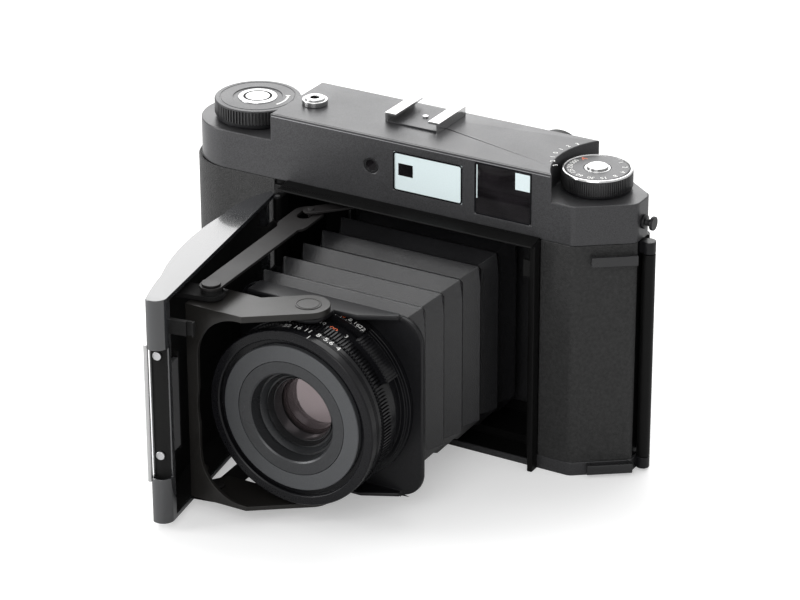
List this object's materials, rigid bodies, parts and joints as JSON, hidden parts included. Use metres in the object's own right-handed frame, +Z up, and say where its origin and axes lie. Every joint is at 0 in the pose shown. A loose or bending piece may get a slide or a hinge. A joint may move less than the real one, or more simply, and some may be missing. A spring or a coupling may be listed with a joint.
{
  "type": "medium format folding camera",
  "caption": "Folding roll-film camera with a hinged front door, swing-arm lens standard on a bellows, finder windows, winding knob, speed dial and hinged film back.",
  "frame": {"origin": "centre of the tripod socket's mouth in the base", "axes": "+Z up from the base, +X to the right seen from the front, lens looks along -Y"},
  "size_m": [0.1778, 0.1427, 0.1126],
  "materials": {
    "cover_metal": "satin gunmetal",
    "black_metal": "satin black",
    "body_alloy": "matt black",
    "leatherette": "fine grain",
    "bellows_cloth": "leather cloth",
    "door_paint": "glossy black lacquer",
    "arm_metal": "satin brown grey",
    "chrome_trim": "polished",
    "steel": "satin",
    "knob_black": "satin black anodised",
    "lens_glass": "coated",
    "window_glass": "clear",
    "frosted_glass": "frosted",
    "black_plastic": "matt",
    "board_green": "resin board",
    "strap_black": "satin black"
  },
  "bodies": {
    "camera_body": {"top_cover": "cover_metal", "strap_lugs": "chrome_trim", "strap_loops": "strap_black", "chassis": "body_alloy", "base_plate": "cover_metal", "tripod_socket": "steel", "front_frame": "black_metal", "grip_left": "leatherette", "grip_right": "leatherette", "back_bar": "black_metal", "hinge_pin": "steel", "release_collar": "chrome_trim", "circuit_board": "board_green", "hot_shoe": "chrome_trim", "bright_window": "frosted_glass", "finder_window": "window_glass", "round_window": "window_glass", "eyepiece": "black_plastic", "finder_block": "black_plastic", "rangefinder_block": "black_plastic", "batteries": "steel", "bellows": "bellows_cloth"},
    "film_advance": {"advance_knob": "knob_black", "takeup_spool": "black_plastic"},
    "film_supply": {"supply_spool": "black_plastic"},
    "lower_pin_left": {"takeup_pin": "steel"},
    "lower_pin_right": {"supply_pin": "steel"},
    "film_roller_left": {"roller_left": "steel"},
    "film_roller_right": {"roller_right": "steel"},
    "release_button": {"shutter_button": "black_metal"},
    "shutter_dial": {"speed_dial": "knob_black"},
    "dial_lock": {"dial_button": "chrome_trim"},
    "flash_contact": {"shoe_contact": "steel"},
    "cell_cap": {"battery_cap": "black_metal"},
    "front_door": {"door_skin": "door_paint", "door_frame": "body_alloy", "arm_pivots": "chrome_trim", "door_rod": "chrome_trim", "door_screws": "chrome_trim"},
    "fold_press": {"press_bar": "arm_metal"},
    "opening_button": {"door_button": "chrome_trim"},
    "opening_catch": {"door_catch": "steel"},
    "folding_arm": {"swing_arm": "arm_metal"},
    "side_struts": {"struts": "arm_metal"},
    "body_links": {"strut_links": "black_metal"},
    "lens_standard": {"lens_board": "body_alloy", "board_pivots": "steel", "lens_mount": "knob_black", "depth_scale": "black_plastic"},
    "distance_ring": {"focus_ring": "knob_black"},
    "lens_unit": {"front_cell": "knob_black", "front_glass": "lens_glass", "shutter_unit": "knob_black", "shutter_blades": "steel", "rear_glass": "lens_glass"},
    "f_stop_ring": {"aperture_ring": "knob_black"},
    "film_back": {"back_door": "body_alloy", "back_covering": "leatherette"},
    "film_plate": {"pressure_plate": "body_alloy"},
    "back_slide": {"back_latch": "black_metal"}
  },
  "joints": [
    {"name": "door_hinge", "type": "hinge", "parent": "camera_body", "child": "front_door", "pos_m": [-0.045, -0.022, 0.043], "axis": [0, 0, 1], "range_deg": [0, 80.3], "deforming": ["bellows"]},
    {"name": "arm_fold", "type": "hinge", "parent": "front_door", "child": "folding_arm", "pos_m": [-0.0256, -0.0936, 0.041], "axis": [0, 0, 1], "range_deg": [0, 74.68]},
    {"name": "standard_fold", "type": "hinge", "parent": "folding_arm", "child": "lens_standard", "pos_m": [0.0043, -0.0823, 0.041], "axis": [0, 0, 1], "range_deg": [-154.98, 0]},
    {"name": "strut_fold", "type": "hinge", "parent": "front_door", "child": "side_struts", "pos_m": [-0.0256, -0.0936, 0.043], "axis": [0, 0, 1], "range_deg": [0, 10.6]},
    {"name": "link_swing", "type": "hinge", "parent": "camera_body", "child": "body_links", "pos_m": [-0.015, -0.0134, 0.043], "axis": [0, 0, 1], "range_deg": [-35.34, 0]},
    {"name": "fold_press_push", "type": "slide", "parent": "front_door", "child": "fold_press", "axis": [-0.9857, -0.1685, 0], "range_m": [0, 0.001], "stiffness_N_per_m": 500, "springref_m": -0.0005},
    {"name": "opening_button_push", "type": "slide", "parent": "camera_body", "child": "opening_button", "axis": [0, 0, 1], "range_m": [0, 0.0015], "stiffness_N_per_m": 300, "springref_m": -0.0005},
    {"name": "catch_slide", "type": "slide", "parent": "camera_body", "child": "opening_catch", "axis": [1, 0, 0], "range_m": [0, 0.0013]},
    {"name": "advance_turn", "type": "hinge", "parent": "camera_body", "child": "film_advance", "pos_m": [-0.0668, 0.0008, 0.09], "axis": [0, 0, 1], "continuous": true},
    {"name": "supply_turn", "type": "hinge", "parent": "camera_body", "child": "film_supply", "pos_m": [0.0645, 0.0008, 0.0403], "axis": [0, 0, 1], "continuous": true},
    {"name": "left_pin_press", "type": "slide", "parent": "camera_body", "child": "lower_pin_left", "axis": [0, 0, -1], "range_m": [0, 0.0022], "stiffness_N_per_m": 200, "springref_m": -0.001},
    {"name": "right_pin_press", "type": "slide", "parent": "camera_body", "child": "lower_pin_right", "axis": [0, 0, -1], "range_m": [0, 0.0022], "stiffness_N_per_m": 200, "springref_m": -0.001},
    {"name": "left_roller_turn", "type": "hinge", "parent": "camera_body", "child": "film_roller_left", "pos_m": [-0.0347, 0.0104, 0.0403], "axis": [0, 0, 1], "continuous": true},
    {"name": "right_roller_turn", "type": "hinge", "parent": "camera_body", "child": "film_roller_right", "pos_m": [0.0433, 0.0104, 0.0403], "axis": [0, 0, 1], "continuous": true},
    {"name": "shutter_release", "type": "slide", "parent": "camera_body", "child": "release_button", "axis": [0, 0, -1], "range_m": [0, 0.0025], "stiffness_N_per_m": 300, "springref_m": -0.0005},
    {"name": "speed_select", "type": "hinge", "parent": "camera_body", "child": "shutter_dial", "pos_m": [0.0652, 0.0022, 0.103], "axis": [0, 0, 1], "range_deg": [-160, 160]},
    {"name": "dial_lock_press", "type": "slide", "parent": "shutter_dial", "child": "dial_lock", "axis": [0, 0, -1], "range_m": [0, 0.0012], "stiffness_N_per_m": 300, "springref_m": -0.0005},
    {"name": "contact_press", "type": "slide", "parent": "camera_body", "child": "flash_contact", "axis": [0, 0, -1], "range_m": [0, 0.0005], "stiffness_N_per_m": 300, "springref_m": -0.0005},
    {"name": "cell_cap_turn", "type": "hinge", "parent": "camera_body", "child": "cell_cap", "pos_m": [-0.0506, -0.0106, 0.001], "axis": [0, 0, 1], "range_deg": [0, 60]},
    {"name": "focus_turn", "type": "hinge", "parent": "lens_standard", "child": "distance_ring", "pos_m": [0.0043, -0.082, 0.0403], "axis": [0, -1, 0], "range_deg": [-70, 0]},
    {"name": "focus_slide", "type": "slide", "parent": "lens_standard", "child": "lens_unit", "axis": [0, 1, 0], "range_m": [-0.0078, 0]},
    {"name": "aperture_turn", "type": "hinge", "parent": "lens_unit", "child": "f_stop_ring", "pos_m": [0.0043, -0.089, 0.0403], "axis": [0, 1, 0], "range_deg": [-30, 60]},
    {"name": "back_hinge", "type": "hinge", "parent": "camera_body", "child": "film_back", "pos_m": [0.0858, 0.0005, 0.043], "axis": [0, 0, -1], "range_deg": [0, 110]},
    {"name": "plate_press", "type": "slide", "parent": "film_back", "child": "film_plate", "axis": [0, 1, 0], "range_m": [0, 0.0008], "stiffness_N_per_m": 400, "springref_m": -0.0005},
    {"name": "latch_slide", "type": "slide", "parent": "camera_body", "child": "back_slide", "axis": [0, 0, -1], "range_m": [0, 0.004], "stiffness_N_per_m": 200, "springref_m": -0.001}
  ],
  "couplings": [
    {"joint": "arm_fold", "follows": "door_hinge", "ratio": 0.93},
    {"joint": "standard_fold", "follows": "door_hinge", "ratio": -1.93},
    {"joint": "strut_fold", "follows": "door_hinge", "ratio": 0.132},
    {"joint": "link_swing", "follows": "door_hinge", "ratio": -0.44},
    {"joint": "catch_slide", "follows": "opening_button_push", "ratio": 0.8658},
    {"joint": "focus_slide", "follows": "focus_turn", "m_per_rad": 0.006384}
  ]
}
